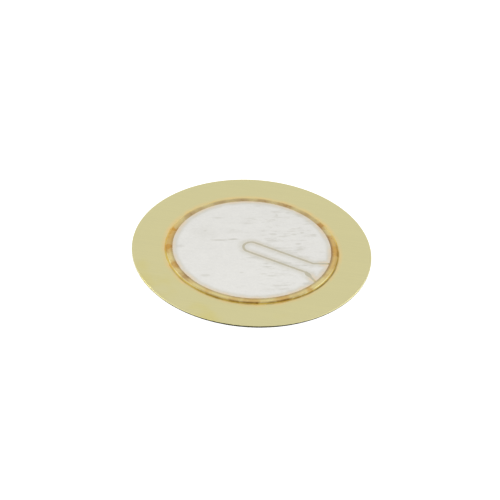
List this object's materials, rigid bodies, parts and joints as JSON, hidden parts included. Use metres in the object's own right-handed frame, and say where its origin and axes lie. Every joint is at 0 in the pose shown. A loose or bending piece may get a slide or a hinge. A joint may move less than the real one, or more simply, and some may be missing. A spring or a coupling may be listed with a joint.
{
  "type": "piezo disc",
  "caption": "Thin round sounder element: a piezoelectric ceramic disc with printed silver electrodes, bonded to the middle of a brass plate, with a tongue-shaped feedback electrode.",
  "frame": {"origin": "middle of the plate's back face", "axes": "+Z from the plate towards the ceramic; +X along the feedback tongue, from its round end to its open end"},
  "size_m": [0.035, 0.035, 0.0005],
  "materials": {
    "brass_sheet": "satin",
    "adhesive": "gloss",
    "piezo_ceramic": "satin",
    "fired_silver": "matte"
  },
  "bodies": {
    "root": {"brass_plate": "brass_sheet", "bond_layer": "adhesive", "lower_electrode": "fired_silver", "ceramic_disc": "piezo_ceramic", "main_electrode": "fired_silver", "feedback_electrode": "fired_silver"}
  },
  "joints": []
}
